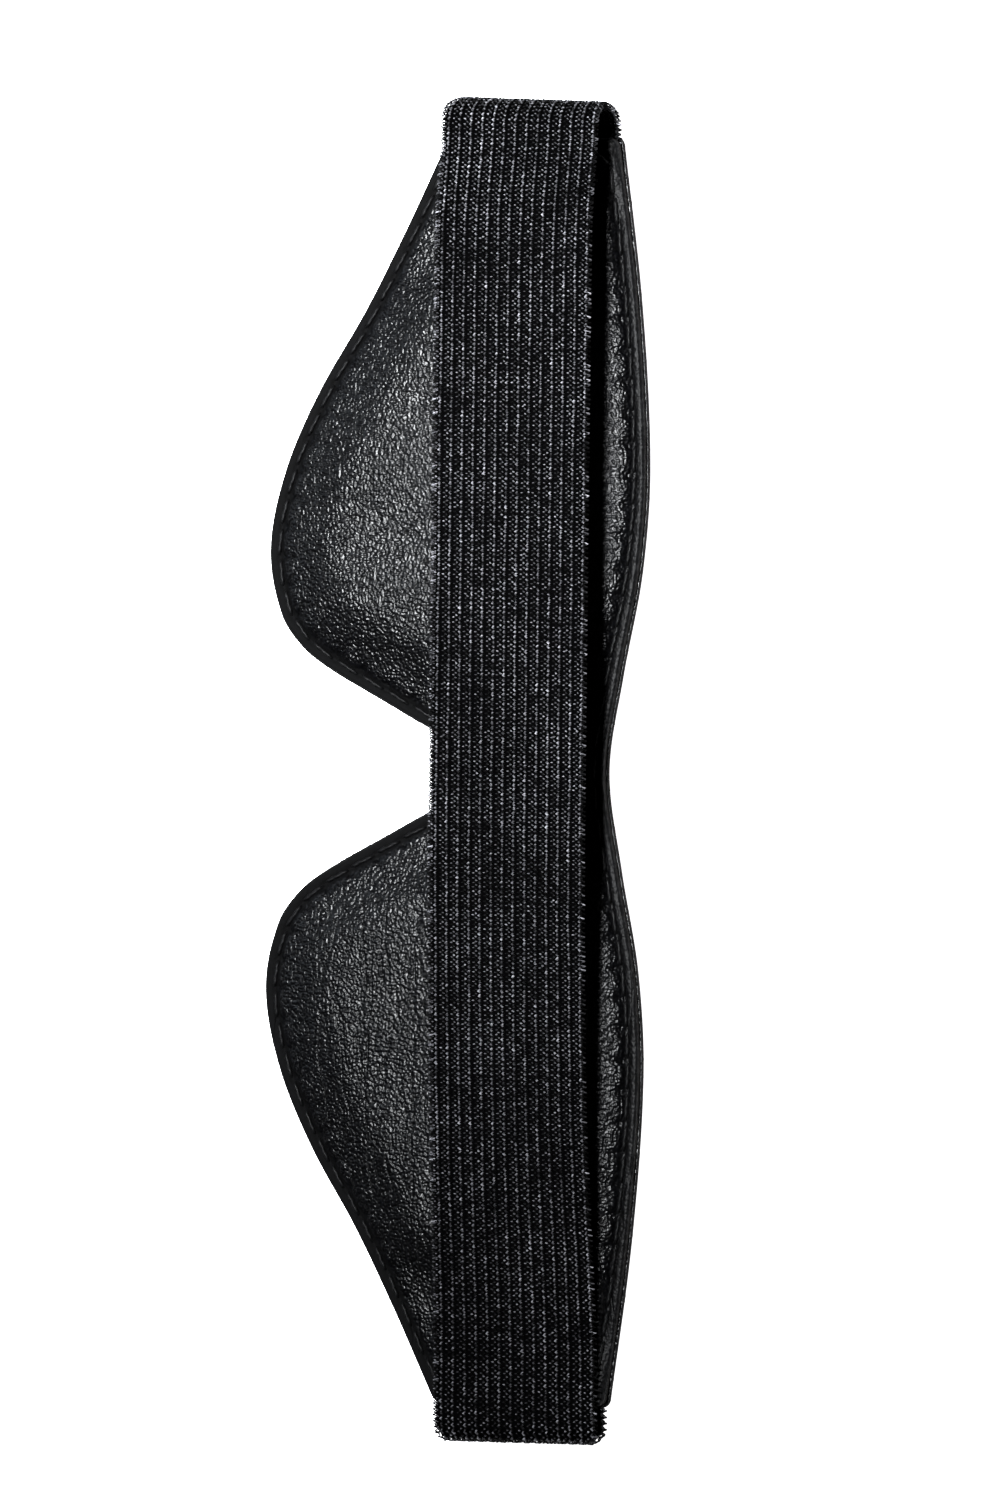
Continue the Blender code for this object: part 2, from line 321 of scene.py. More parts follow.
OUTLINE = Loop(outline_points(CORNER_RADIUS))
SEAM = Loop(outline_points(SEAM_CORNER_RADIUS, SEAM_INSET))
STITCHES = round(SEAM.length / STITCH_LENGTH)
PITCH = SEAM.length / STITCHES


def near_hole(along):
    """1 at the needle's holes and 0 between them."""
    phase = along / PITCH
    off = np.abs(phase - np.round(phase)) * PITCH
    return np.exp(-((off / HOLE_WIDTH) ** 2))


# ---- leather panels

def lobe_share(x):
    """1 over the eyes and 0 at the bridge and at the ends."""
    return smooth_step(8 * MM, 24 * MM, np.abs(x)) * smooth_step(96 * MM, 82 * MM, np.abs(x))


def end_spread(x, y):
    """How far a panel moves out to make room for the strap's tab."""
    inside = smooth_step(16.8 * MM, 14.8 * MM, np.abs(y - STRAP_Y))
    return END_SPREAD * smooth_step(83 * MM, 97 * MM, np.abs(x)) * inside


def soft_waves(x, y, seed, scale):
    """Low, smooth, irregular waves, about -1 to 1."""
    draw = np.random.default_rng(seed)
    total = np.zeros(np.shape(x))
    for _ in range(7):
        heading = draw.uniform(0, 2 * np.pi)
        length = scale * draw.uniform(0.6, 1.6)
        phase = draw.uniform(0, 2 * np.pi)
        total += np.sin(2 * np.pi * (x * np.cos(heading) + y * np.sin(heading)) / length + phase)
    return total / 3.5


def crease_depth(x, y):
    """Fine creases across the right lobe, from its cheek side up towards the nose."""
    draw = np.random.default_rng(5)
    depth = np.zeros(np.shape(x))
    for _ in range(CREASES):
        cx = draw.uniform(26, 100) * MM
        cy = STRAP_Y + draw.uniform(-42, -6) * MM
        heading = math.radians(draw.normal(CREASE_HEADING, 13))
        length = draw.uniform(4, 13) * MM
        width = draw.uniform(0.22, 0.42) * MM
        deep = draw.uniform(0.05, 0.15) * MM
        bow = draw.normal(0, 0.05)
        along = (x - cx) * math.cos(heading) + (y - cy) * math.sin(heading)
        off = -(x - cx) * math.sin(heading) + (y - cy) * math.cos(heading)
        off = off - bow * along * along / (8 * MM)
        depth += deep * np.exp(-((off / width) ** 2)) * np.exp(-((along / length) ** 4))
    return depth


def seam_relief(offset, along, groove, puff):
    """The seam's channel and the leather that stands up beside it, scalloped by the stitches."""
    hole = near_hole(along)
    channel = -groove * np.exp(-((offset / (0.55 * MM)) ** 2)) * (0.6 + 0.4 * hole)
    start = (0.35 + 0.95 * hole) * MM
    rise = puff * (1 - np.exp(-np.maximum(offset - start, 0.0) / (0.85 * MM)))
    pucker = -0.03 * MM * hole * np.exp(-np.maximum(offset, 0.0) / (2.6 * MM)) * (offset > 0)
    return channel + rise + pucker


def rounded_rim(depth):
    """How far a panel's face drops towards its cut edge, at a distance in from that edge."""
    return EDGE_ROUNDING * np.clip(1 - depth / EDGE_ROUNDING_WIDTH, 0, 1) ** 2


def lining_top(x, y):
    """The face towards the wearer: swollen over the eyes and grooved along the seam."""
    depth = OUTLINE.measure(x, y)[0]
    offset, along = SEAM.measure(x, y)
    lobe = lobe_share(x)
    puff = (0.3 + 0.45 * lobe) * MM
    swell = (LINING_SWELL - 0.7 * MM) * smooth_step(PAD_START, PAD_FULL, depth) * lobe
    waves = 0.16 * MM * soft_waves(x, y, 3, 26 * MM) * smooth_step(3 * MM, 9 * MM, depth) * lobe
    edge = rounded_rim(depth - LINING_RECESS)
    base = MIDDLE_HEIGHT + LAYER_GAP / 2 + LINING_THICKNESS + end_spread(x, y)
    relief = seam_relief(offset, along, 0.5 * MM, puff)
    return base + swell + waves + relief - edge - crease_depth(x, y)


def lining_bottom(x, y):
    """The lining's hidden face, over the foam."""
    depth = OUTLINE.measure(x, y)[0]
    rise = smooth_step(PAD_INNER_START, PAD_FULL, depth) * lobe_share(x)
    return MIDDLE_HEIGHT + GRID_CLEARANCE + INNER_SPREAD * end_spread(x, y) + LINING_SWELL * rise


def front_bottom(x, y):
    """The outer face of the mask, which lies on the floor under the eyes."""
    depth = OUTLINE.measure(x, y)[0]
    offset, along = SEAM.measure(x, y)
    lobe = lobe_share(x)
    swell = (RIM_LIFT - 0.55 * MM) * smooth_step(PAD_START, PAD_FULL, depth) * lobe
    edge = rounded_rim(depth)
    relief = seam_relief(offset, along, 0.45 * MM, (0.15 + 0.4 * lobe) * MM)
    base = RIM_LIFT - end_spread(x, y) - swell - relief + edge
    return np.maximum(base, 0.0)


def front_top(x, y):
    """The front panel's hidden face, under the foam."""
    depth = OUTLINE.measure(x, y)[0]
    rise = smooth_step(PAD_INNER_START, PAD_FULL, depth) * lobe_share(x)
    return MIDDLE_HEIGHT - GRID_CLEARANCE - INNER_SPREAD * end_spread(x, y) - RIM_LIFT * rise


def panel_columns():
    """The X of each column of a panel: closer together at the nose notch and at the ends."""
    steps = [0.0]
    while steps[-1] < LEATHER_HALF_LENGTH:
        x = steps[-1]
        step = 0.46 * MM
        if 3 * MM < x < 23 * MM:
            step = 0.24 * MM
        if x > LEATHER_HALF_LENGTH - 2.5 * MM:
            step = 0.16 * MM
        steps.append(x + step)
    half = np.array(steps) * (LEATHER_HALF_LENGTH / steps[-1])
    return np.concatenate([-half[:0:-1], half])


EDGE_ROWS = np.array([
    0.0, 0.12, 0.3, 0.5, 0.8, 1.1, 1.4, 1.65, 1.85, 2.05, 2.25, 2.45, 2.7, 2.95, 3.2, 3.5, 3.9,
    4.4, 5.0, 5.7, 6.5,
]) * MM
MIDDLE_ROWS = 30


def lean(edge, x):
    """How much longer a step along the edge is than its run in X."""
    step = 0.2 * MM
    rise = edge(np.abs(x + step)) - edge(np.abs(x - step))
    return np.hypot(1.0, rise / (2 * step))


def panel_grid(inset):
    """The (x, y) of a panel's grid: columns along X, and rows that follow both edges."""
    xs = panel_columns()
    reach = 1.0 - inset / LEATHER_HALF_LENGTH
    low_lean = lean(cheek_from_strap, xs)
    high_lean = lean(brow_from_strap, xs)
    low = cheek_y(xs) + inset * low_lean
    high = brow_y(xs) - inset * high_lean
    deepest = EDGE_ROWS[-1]
    fit = np.minimum(1.0, 0.7 * (high - low) / (deepest * (low_lean + high_lean)))
    lower = low[:, None] + EDGE_ROWS[None, :] * (low_lean * fit)[:, None]
    upper = high[:, None] - EDGE_ROWS[None, ::-1] * (high_lean * fit)[:, None]
    share = np.arange(1, MIDDLE_ROWS)[None, :] / MIDDLE_ROWS
    middle = lower[:, -1:] * (1 - share) + upper[:, :1] * share
    ys = np.concatenate([lower, middle, upper], axis=1)
    return np.repeat((xs * reach)[:, None], ys.shape[1], axis=1), ys


def sheet_faces(columns, rows):
    """The quads of a grid's upper side, and the indices of its border in order."""
    grid = np.arange(columns * rows).reshape(columns, rows)
    quads = np.stack([grid[:-1, :-1], grid[1:, :-1], grid[1:, 1:], grid[:-1, 1:]], axis=-1)
    border = np.concatenate([grid[:, 0], grid[-1, 1:], grid[-2::-1, -1], grid[0, -2:0:-1]])
    return quads.reshape(-1, 4), border


def wall_faces(rings):
    """Quads between successive rings of indices, the uppermost first."""
    walls = []
    for upper, lower in zip(rings[:-1], rings[1:]):
        walls.append(np.stack([upper, lower, np.roll(lower, -1), np.roll(upper, -1)], axis=-1))
    return np.concatenate(walls)


def cut_edge_rings(upper, lower, seed):
    """The loops of points, a little frayed, between the upper and lower borders of a panel."""
    draw = np.random.default_rng(seed)
    around = np.arange(len(upper))
    rings = []
    for layer in range(1, EDGE_LAYERS):
        share = layer / EDGE_LAYERS
        ring = upper * (1 - share) + lower * share
        beyond = np.roll(ring[:, :2], -1, axis=0) - np.roll(ring[:, :2], 1, axis=0)
        outward = np.stack([beyond[:, 1], -beyond[:, 0]], axis=1)
        outward /= np.linalg.norm(outward, axis=1, keepdims=True)
        fray = draw.normal(0, 0.035 * MM, len(upper)) + 0.05 * MM * np.sin(math.pi * share)
        fray += 0.03 * MM * np.sin(around * 0.21 + 2.0 * layer)
        ring[:, :2] += outward * fray[:, None]
        rings.append(ring)
    return rings


def leather_panel(name, inset, low, high, face, cut_edge, seed):
    """A closed leather panel: a grained top and underside, and a raw cut edge of several loops."""
    x, y = panel_grid(inset)
    top = np.stack([x, y, high(x, y)], axis=-1).reshape(-1, 3)
    bottom = np.stack([x, y, low(x, y)], axis=-1).reshape(-1, 3)
    top_faces, border = sheet_faces(*x.shape)
    bottom_faces = top_faces[:, ::-1] + x.size
    walls = cut_edge_rings(top[border], bottom[border], seed)
    vertices = np.concatenate([top, bottom] + walls)
    ring = np.arange(len(border))
    rings = [2 * x.size + layer * len(border) + ring for layer in range(len(walls))]
    side_faces = wall_faces([border] + rings + [border + x.size])
    faces = np.concatenate([top_faces, bottom_faces, side_faces])
    kinds = np.zeros(len(faces), np.int32)
    kinds[len(top_faces) + len(bottom_faces):] = 1
    obj = mesh_object(name, vertices, faces.tolist(), [face, cut_edge], kinds)
    offset = SEAM.measure(vertices[:, 0], vertices[:, 1])[0]
    rim_grain = 0.15 + 0.4 * smooth_step(0.0, 10 * MM, vertices[:, 1])
    inside = smooth_step(-0.2 * MM, 2.2 * MM, offset)
    point_attribute(obj, "grain", rim_grain + (1 - rim_grain) * inside)
    point_attribute(obj, "creased", smooth_step(5 * MM, 30 * MM, vertices[:, 0]))
    return obj


# ---- stitches

def stitch_tubes(starts, ends, ups, dip):
    """Two-ply stitches: one for each pair of holes, arched between them and dipping into both."""
    rings, sides = 15, 9
    share = np.linspace(0, 1, rings)
    centres = starts[:, None, :] * (1 - share)[None, :, None]
    centres = centres + ends[:, None, :] * share[None, :, None]
    out = np.abs(2 * share - 1)
    arch = STITCH_CROWN * (1 - out ** 6) - dip * out ** 8
    centres = centres + ups[:, None, :] * arch[None, :, None]
    ply = 2 * np.pi * (np.arange(sides) + 0.5) / sides
    twist = 1 + 0.16 * np.cos(2 * (ply[None, :] - 9.0 * share[:, None]))
    taper = THREAD_RADIUS * (1 - 0.35 * out ** 6)
    radii = (taper[:, None] * twist)[None, :, :]
    return tube_mesh(tube_points(centres, np.repeat(ups[:, None, :], rings, axis=1), radii, sides))


def stitch_row(name, first, second, surface, side, lift, dip, finish):
    """Stitches from each first place to its second. side is 1 on the lining and -1 on the front."""
    middle = (first + second) / 2
    height = surface(middle[:, 0], middle[:, 1]) + side * lift
    starts = np.column_stack([first, height])
    ends = np.column_stack([second, height])
    ups = np.tile([0.0, 0.0, float(side)], (len(first), 1))
    points, faces = stitch_tubes(starts, ends, ups, dip)
    return mesh_object(name, points, faces, [finish])


def seam_stitches(name, surface, side, finish):
    """The stitches of the edge seam on one face, each a little askew to the seam."""
    hole = np.arange(STITCHES) * PITCH
    lean_out = 0.16 * MM
    first, inward = SEAM.at(hole + HOLE_OFFSET)
    second, inward_after = SEAM.at(hole + PITCH - HOLE_OFFSET)
    first = first + inward * lean_out
    second = second - inward_after * lean_out
    return stitch_row(name, first, second, surface, side, 0.12 * MM, 1.1 * MM, finish)


def anchor_stitches(name, end, surface, side, finish):
    """The short row of stitches that holds a tab of the strap between the panels."""
    count, length, gap = 6, 26 * MM, 0.25 * MM
    x = np.full(count, end * (LEATHER_HALF_LENGTH - 8 * MM))
    ys = STRAP_Y - length / 2 + length * np.arange(count + 1) / count
    first = np.column_stack([x, ys[:-1] + gap])
    second = np.column_stack([x, ys[1:] - gap])
    return stitch_row(name, first, second, surface, side, 0.1 * MM, 0.9 * MM, finish)


# ---- strap

def fold_centre(top):
    """The centre of a fold, as a distance from the middle and a height, and its radius."""
    radius = (top - TAB_HEIGHT) / 2
    return STRAP_HALF_REACH - STRAP_THICKNESS / 2 - radius, TAB_HEIGHT + radius, radius


class Route:
    """The strap's middle surface in X and Z, from its left tab over the arch to its right tab."""

    def __init__(self):
        left_x, left_z, left_r = fold_centre(LEFT_FOLD_TOP)
        right_x, right_z, right_r = fold_centre(RIGHT_FOLD_TOP)
        left_end = (-left_x / MM, LEFT_FOLD_TOP / MM)
        right_end = (right_x / MM, RIGHT_FOLD_TOP / MM)
        arch = smooth_curve([left_end] + ARCH + [right_end])
        turn = np.radians(np.arange(-90, 90, 3))
        top = np.arange(-left_x, right_x, 0.5 * MM)
        tab_end = LEATHER_HALF_LENGTH - TAB_DEPTH
        left_tab = np.linspace(-tab_end, -left_x, 20)[:-1]
        right_tab = np.linspace(right_x, tab_end, 20)[1:]
        runs = [
            (left_tab, np.full(len(left_tab), TAB_HEIGHT)),
            (-left_x - left_r * np.cos(turn), left_z + left_r * np.sin(turn)),
            (top, arch(top)),
            (right_x + right_r * np.cos(turn[::-1]), right_z + right_r * np.sin(turn[::-1])),
            (right_tab, np.full(len(right_tab), TAB_HEIGHT)),
        ]
        x, z = np.concatenate([np.stack(run) for run in runs], axis=1)
        steps = np.hypot(np.diff(x), np.diff(z))
        lengths = np.concatenate([[0.0], np.cumsum(steps)])
        self.length = lengths[-1]
        self.s = np.linspace(0, self.length, 3000)
        self.x = np.interp(self.s, lengths, x)
        self.z = np.interp(self.s, lengths, z)
        dx = np.gradient(self.x)
        dz = np.gradient(self.z)
        size = np.hypot(dx, dz)
        self.nx = -dz / size
        self.nz = dx / size
        outer_face = self.nz > 0
        self.middle = self.s[np.argmin(np.where(outer_face, np.abs(self.x), 1.0))]
        self.left_tip = self.s[np.argmin(self.x)]
        self.right_tip = self.s[np.argmax(self.x)]

    def sideways(self, s, across):
        """Where a place across the strap lies: it is sewn in askew, and its folds draw in."""
        share = across / (STRAP_WIDTH / 2)
        askew = TAB_SKEW * smooth_step(self.left_tip + 5 * MM, self.left_tip - 6 * MM, s)
        near_right = smooth_step(self.right_tip - 8 * MM, self.right_tip + 4 * MM, s)
        askew = askew + RIGHT_SKEW * near_right
        wider = 1 + RELAXED_WIDENING * smooth_step(self.middle + 50 * MM, self.right_tip, s)
        left = LEFT_DRAW_IN * np.exp(-(((s - self.left_tip) / (2.2 * MM)) ** 2))
        right = RIGHT_DRAW_IN * np.exp(-(((s - self.right_tip) / (1.6 * MM)) ** 2))
        drawn = left * np.where(share < 0, 1.0, 0.25) + right
        return across * wider + askew - drawn * share ** 3

    def place(self, s, across, height):
        """Points at length s along the strap, across its width and out from its middle surface."""
        s, across, height = np.broadcast_arrays(s, across, height)
        nx = np.interp(s, self.s, self.nx)
        nz = np.interp(s, self.s, self.nz)
        near_fold = np.exp(-(((s - self.left_tip) / (12 * MM)) ** 2))
        aslant = FOLD_SLANT * across / STRAP_WIDTH * near_fold
        x = np.interp(s, self.s, self.x) + nx * height + aslant
        z = np.interp(s, self.s, self.z) + nz * height
        return np.stack([x, STRAP_Y + self.sideways(s, across), z], axis=-1)

    def out(self, s, across):
        """The direction out of the strap's outer face at each place."""
        s, across = np.broadcast_arrays(s, across)
        nx = np.interp(s, self.s, self.nx)
        nz = np.interp(s, self.s, self.nz)
        return np.stack([nx, np.zeros(np.shape(s)), nz], axis=-1)


ROUTE = Route()


def courses():
    """The length along the strap of every knitted row, and the index of the row at the middle."""
    left = round(ROUTE.middle / COURSE_LENGTH)
    left_rows = ROUTE.middle * np.arange(left) / left
    rest = ROUTE.length - ROUTE.middle
    right = round(rest / (COURSE_LENGTH * 1.1))
    share = np.arange(right + 1) / right
    right_rows = ROUTE.middle + rest * (0.88 * share + 0.12 * share ** 3)
    return np.concatenate([left_rows, right_rows]), left


def wale_places():
    """Each column of stitches across the strap: close pairs, with a groove between pairs."""
    pitch = (STRAP_WIDTH - 0.5 * MM) / WALES
    index = np.arange(WALES)
    places = (index + 0.5) * pitch - WALES * pitch / 2
    return places + np.where(index % 2 == 0, 0.02, -0.02) * MM


def drift(s, seed, size):
    """A slow sideways wander along the strap."""
    draw = np.random.default_rng(seed)
    total = 0.0
    for length in (61 * MM, 37 * MM, 17 * MM):
        wave = np.sin(2 * np.pi * s / length + draw.uniform(0, 6.28))
        total = total + wave * draw.uniform(0.4, 1)
    return size * total / 2


def ring_lengths(rows, steps):
    """The length along the strap of each ring of the stitch tubes, with steps rings to a row."""
    return np.interp(np.arange((len(rows) - 1) * steps + 1) / steps, np.arange(len(rows)), rows)


def yarn(centres, ups, radii, tone_and_painted_glint):
    """Lengths of yarn as (rings, tone), with a colour tone for every ring, which on the outer face
    carries painted highlights.
    """
    rings = tube_points(centres, ups, radii, YARN_SIDES)
    return rings, np.repeat(tone_and_painted_glint[..., None], YARN_SIDES, axis=2)


def outer_wales(rows):
    """The outer face: pairs of zigzag columns, one of each showing as short slanting dashes."""
    draw = np.random.default_rng(21)
    s = ring_lengths(rows, OUTER_STEPS)
    shape = (WALES, len(s))
    phase = np.arange(len(s)) % OUTER_STEPS
    dashed = (np.arange(WALES) % 2 == 0)[:, None]
    swing = np.choose(phase, [-1.0, 0.1, 1.0, -0.1])
    plain_rise = np.choose(phase, [0.02, 0.04, -0.08, 0.04]) * MM
    dashed_rise = np.choose(phase, [0.06, -0.08, 0.06, -0.02]) * MM
    rise = np.where(dashed, dashed_rise, plain_rise) + draw.normal(0, 0.02 * MM, shape)
    plain_swell = np.choose(phase, [1.0, 1.1, 0.75, 1.1])
    dashed_swell = np.choose(phase, [1.15, 0.7, 1.15, 0.8])
    radii = YARN_RADIUS * np.where(dashed, dashed_swell, plain_swell)
    radii = radii * (1 + 0.12 * draw.normal(0, 1, shape))
    width = (0.31 + 0.05 * draw.normal(0, 1, shape)) * MM
    pair_drift = np.stack([drift(s, 70 + wale // 2, 0.08 * MM) for wale in range(WALES)])
    across = wale_places()[:, None] + width * swing + pair_drift
    gather = np.where(dashed, np.choose(phase, [-0.1, 0.0, 0.1, 0.0]), 0.0) * COURSE_LENGTH
    along = s + gather + draw.normal(0, 0.05 * MM, shape)
    along[:, 0] = s[0]
    along[:, -1] = s[-1]
    centres = ROUTE.place(along, across, YARN_HEIGHT + rise)
    # Painted highlights: the stitch legs that would catch the light are given a bright colour, the
    # others a dark one.
    plain_painted_glint = np.choose(phase, [0.66, 0.62, 0.02, 0.66])
    dashed_painted_glint = np.choose(phase, [0.74, 0.1, 0.78, 0.2])
    tone_and_painted_glint = np.where(dashed, dashed_painted_glint, plain_painted_glint) + 0.14 * draw.normal(0, 1, shape)
    return yarn(centres, ROUTE.out(along, across), radii[..., None], tone_and_painted_glint)


def inner_wales(rows):
    """The plainer columns of stitches on the face towards the lining."""
    draw = np.random.default_rng(22)
    s = ring_lengths(rows, INNER_STEPS)
    shape = (WALES, len(s))
    swing = np.where(np.arange(len(s)) % INNER_STEPS == 0, -1.0, 1.0)
    across = wale_places()[:, None] + 0.24 * MM * swing
    along = np.broadcast_to(s, shape)
    centres = ROUTE.place(along, across, -YARN_HEIGHT + draw.normal(0, 0.02 * MM, shape))
    tone_and_painted_glint = 0.42 + 0.12 * draw.normal(0, 1, shape)
    return yarn(centres, ROUTE.out(along, across), YARN_RADIUS, tone_and_painted_glint)


def selvedge_loops(rows, edge, seed):
    """The weft's loops round one edge of the strap, one for each row, which bind its selvedge."""
    draw = np.random.default_rng(seed)
    half = STRAP_WIDTH / 2
    root = NET_WIDTH + 0.3 * MM
    upper_inset = [root, 0.75 * MM, 0.3 * MM]
    route_inset = np.array(upper_inset + [0.13 * MM] + upper_inset[::-1])
    upper_height = [0.36, 0.44, 0.28]
    route_height = np.array(upper_height + [0.0] + [-height for height in upper_height[::-1]]) * MM
    bulge = np.array([0.0, 0.4, 1.0, 1.2, 1.0, 0.4, 0.0])
    count = len(rows) - 1
    slant = np.linspace(-0.35, 0.35, len(bulge)) * COURSE_LENGTH
    along = (rows[:-1, None] + rows[1:, None]) / 2 + slant + draw.normal(0, 0.05 * MM, (count, 1))
    along = np.clip(along, rows[0], rows[-1])
    across = edge * (half - route_inset + draw.normal(0, 0.04 * MM, (count, 1)) * bulge)
    centres = ROUTE.place(along, across, route_height * np.ones((count, 1)))
    ahead = np.gradient(centres, axis=1)
    ahead /= np.linalg.norm(ahead, axis=2, keepdims=True)
    ups = ROUTE.out(along, across)
    steep = np.abs((ahead * ups).sum(axis=2)) > 0.6
    ups = np.where(steep[..., None], np.array([0.0, float(edge), 0.0]), ups)
    tone_and_painted_glint = np.clip(0.45 + 0.25 * draw.normal(0, 1, (count, 1)), 0, 1) * np.ones(len(bulge))
    return yarn(centres, ups, SELVEDGE_RADIUS, tone_and_painted_glint)


def strap_core(name, rows, finish):
    """The dense middle of the strap, ribbed on both faces, under the stitches."""
    half_width = STRAP_WIDTH / 2 - NET_WIDTH
    across = np.linspace(-half_width, half_width, 65)
    rib = RIB_HEIGHT * np.cos(2 * np.pi * across / (2 * STRAP_WIDTH / WALES))
    face = CORE_HALF_THICKNESS + rib
    ring_across = np.concatenate([across, across[::-1]])
    ring_height = np.concatenate([face, -face[::-1]])
    s = np.unique(np.append(rows[::2], rows[-1]))
    points = ROUTE.place(s[:, None], ring_across[None, :], ring_height[None, :])
    size = len(ring_across)
    faces = loft_faces(len(s), size).tolist()
    last = (len(s) - 1) * size
    faces.append(list(range(size - 1, -1, -1)))
    faces.append(list(range(last, last + size)))
    return mesh_object(name, points.reshape(-1, 3), faces, [finish])


def knit_piece(name, parts, finish):
    """Stitch tubes, as (rings, tone) parts, made into one piece, with each ring's tone and painted
    highlight stored for the yarn's colour.
    """
    points, faces = merged([tube_mesh(rings) for rings, _ in parts])
    obj = mesh_object(name, points, faces, [finish])
    point_attribute(obj, "tone_and_painted_glint", np.concatenate([tone_and_painted_glint.ravel() for _, tone_and_painted_glint in parts]))
    return obj


# ---- materials

def new_material(name):
    """A material, its nodes and its shader."""
    made = bpy.data.materials.new(name)
    made.use_nodes = True
    tree = made.node_tree
    shader = tree.nodes["Principled BSDF"]
    return made, tree, shader


def add_node(tree, kind, wires, values):
    """A node with some of its inputs wired to other nodes' outputs and some set to values."""
    made = tree.nodes.new(kind)
    for name, output in wires.items():
        tree.links.new(output, made.inputs[name])
    for name, value in values.items():
        made.inputs[name].default_value = value
    return made


def math_node(tree, operation, *values):
    """One piece of arithmetic. Each value is a number or another node's output."""
    made = tree.nodes.new("ShaderNodeMath")
    made.operation = operation
    for index, value in enumerate(values):
        if isinstance(value, (int, float)):
            made.inputs[index].default_value = value
        else:
            tree.links.new(value, made.inputs[index])
    return made.outputs[0]


def mapped(tree, value, low, high, new_low, new_high):
    """value taken smoothly from one range to another."""
    ranges = {"From Min": low, "From Max": high, "To Min": new_low, "To Max": new_high}
    made = add_node(tree, "ShaderNodeMapRange", {"Value": value}, ranges)
    made.interpolation_type = "SMOOTHSTEP"
    return made.outputs["Result"]


def finish_with(tree, shader, colour, roughness, normal, specular):
    """Gives a surface its colour, its roughness, its bump and the strength of its reflections."""
    tree.links.new(colour, shader.inputs["Base Color"])
    tree.links.new(roughness, shader.inputs["Roughness"])
    tree.links.new(normal, shader.inputs["Normal"])
    shader.inputs["Specular IOR Level"].default_value = specular


def object_coordinates(tree):
    return tree.nodes.new("ShaderNodeTexCoord").outputs["Object"]


def attribute(tree, name):
    made = tree.nodes.new("ShaderNodeAttribute")
    made.attribute_name = name
    return made.outputs["Fac"]


def noise(tree, vector, scale, detail=3.0, roughness=0.5):
    values = {"Scale": scale, "Detail": detail, "Roughness": roughness}
    return add_node(tree, "ShaderNodeTexNoise", {"Vector": vector}, values).outputs["Fac"]


def vector_node(tree, operation, first):
    """A sum of vectors, with its first one wired."""
    made = tree.nodes.new("ShaderNodeVectorMath")
    made.operation = operation
    tree.links.new(first, made.inputs[0])
    return made


def warped(tree, vector, scale, amount):
    """The coordinates pushed about by noise, so that a pattern doesn't look regular."""
    push = add_node(tree, "ShaderNodeTexNoise", {"Vector": vector}, {"Scale": scale, "Detail": 2.0})
    centred = vector_node(tree, "SUBTRACT", push.outputs["Color"])
    centred.inputs[1].default_value = (0.5, 0.5, 0.5)
    sized = vector_node(tree, "SCALE", centred.outputs[0])
    sized.inputs["Scale"].default_value = amount
    moved = vector_node(tree, "ADD", vector)
    tree.links.new(sized.outputs[0], moved.inputs[1])
    return moved.outputs[0]


def cells(tree, vector, pitch):
    """The distance from the middle of the nearest of many irregular cells."""
    made = add_node(tree, "ShaderNodeTexVoronoi", {"Vector": vector}, {"Scale": 1.0 / pitch})
    return made.outputs["Distance"]


def colour_ramp(tree, value, stops):
    made = tree.nodes.new("ShaderNodeValToRGB")
    tree.links.new(value, made.inputs["Fac"])
    ramp = made.color_ramp
    while len(ramp.elements) < len(stops):
        ramp.elements.new(0.5)
    for element, (place, colour) in zip(ramp.elements, stops):
        element.position = place
        element.color = (*colour, 1.0)
    return made.outputs["Color"]


def bump(tree, height, distance, strength):
    values = {"Distance": distance, "Strength": strength}
    return add_node(tree, "ShaderNodeBump", {"Height": height}, values).outputs["Normal"]


def pebble_height(tree, vector, pitch):
    """The height of pebbled leather grain, 0 to 1: soft, rounded worms and pebbles."""
    bent = warped(tree, vector, 0.5 / pitch, 0.4 * pitch)
    return noise(tree, bent, 1.4 / pitch, 0.0)


def crease_lines(tree, vector):
    """Fine diagonal lines, 0 to 1, as soft leather gets where it has been bent."""
    values = {"Rotation": (0.0, 0.0, math.radians(-CREASE_HEADING)), "Scale": (0.16, 1.0, 1.0)}
    bent = warped(tree, vector, 60.0, 4 * MM)
    turned = add_node(tree, "ShaderNodeMapping", {"Vector": bent}, values)
    field = noise(tree, turned.outputs["Vector"], 260.0, 1.0)
    away = math_node(tree, "ABSOLUTE", math_node(tree, "SUBTRACT", field, 0.5))
    return mapped(tree, away, 0.0, 0.045, 1.0, 0.0)


def lining_leather():
    """Soft black leather, pebbled and a little glossy. The grain fades out over the rim."""
    made, tree, shader = new_material("lining_leather_look")
    place = object_coordinates(tree)
    grain = pebble_height(tree, place, LINING_GRAIN)
    amount = attribute(tree, "grain")
    height = math_node(tree, "MULTIPLY", grain, amount)
    lines = math_node(tree, "MULTIPLY", crease_lines(tree, place), attribute(tree, "creased"))
    height = math_node(tree, "MULTIPLY_ADD", lines, -0.35, height)
    patches = noise(tree, place, 55.0, 3.0)
    # Painted shade: the colour follows the grain's height, so the valleys between pebbles are
    # darker, as if shade fell in them; where the grain fades over the rim the colour is made darker
    # too.
    tone_and_valley_shade = math_node(tree, "MULTIPLY_ADD", grain, 0.7, math_node(tree, "MULTIPLY", patches, 0.3))
    tone_and_valley_shade = math_node(tree, "MULTIPLY", tone_and_valley_shade, mapped(tree, amount, 0.2, 0.8, 0.7, 1.0))
    colour = colour_ramp(tree, tone_and_valley_shade, [
        (0.3, (0.0002, 0.0002, 0.0003)),
        (0.5, (0.0012, 0.0012, 0.0018)),
        (0.75, (0.0045, 0.0048, 0.006)),
    ])
    roughness = mapped(tree, amount, 0.2, 0.8, 0.85, 0.36)
    finish_with(tree, shader, colour, roughness, bump(tree, height, GRAIN_HEIGHT, 1.0), 0.24)
    return made


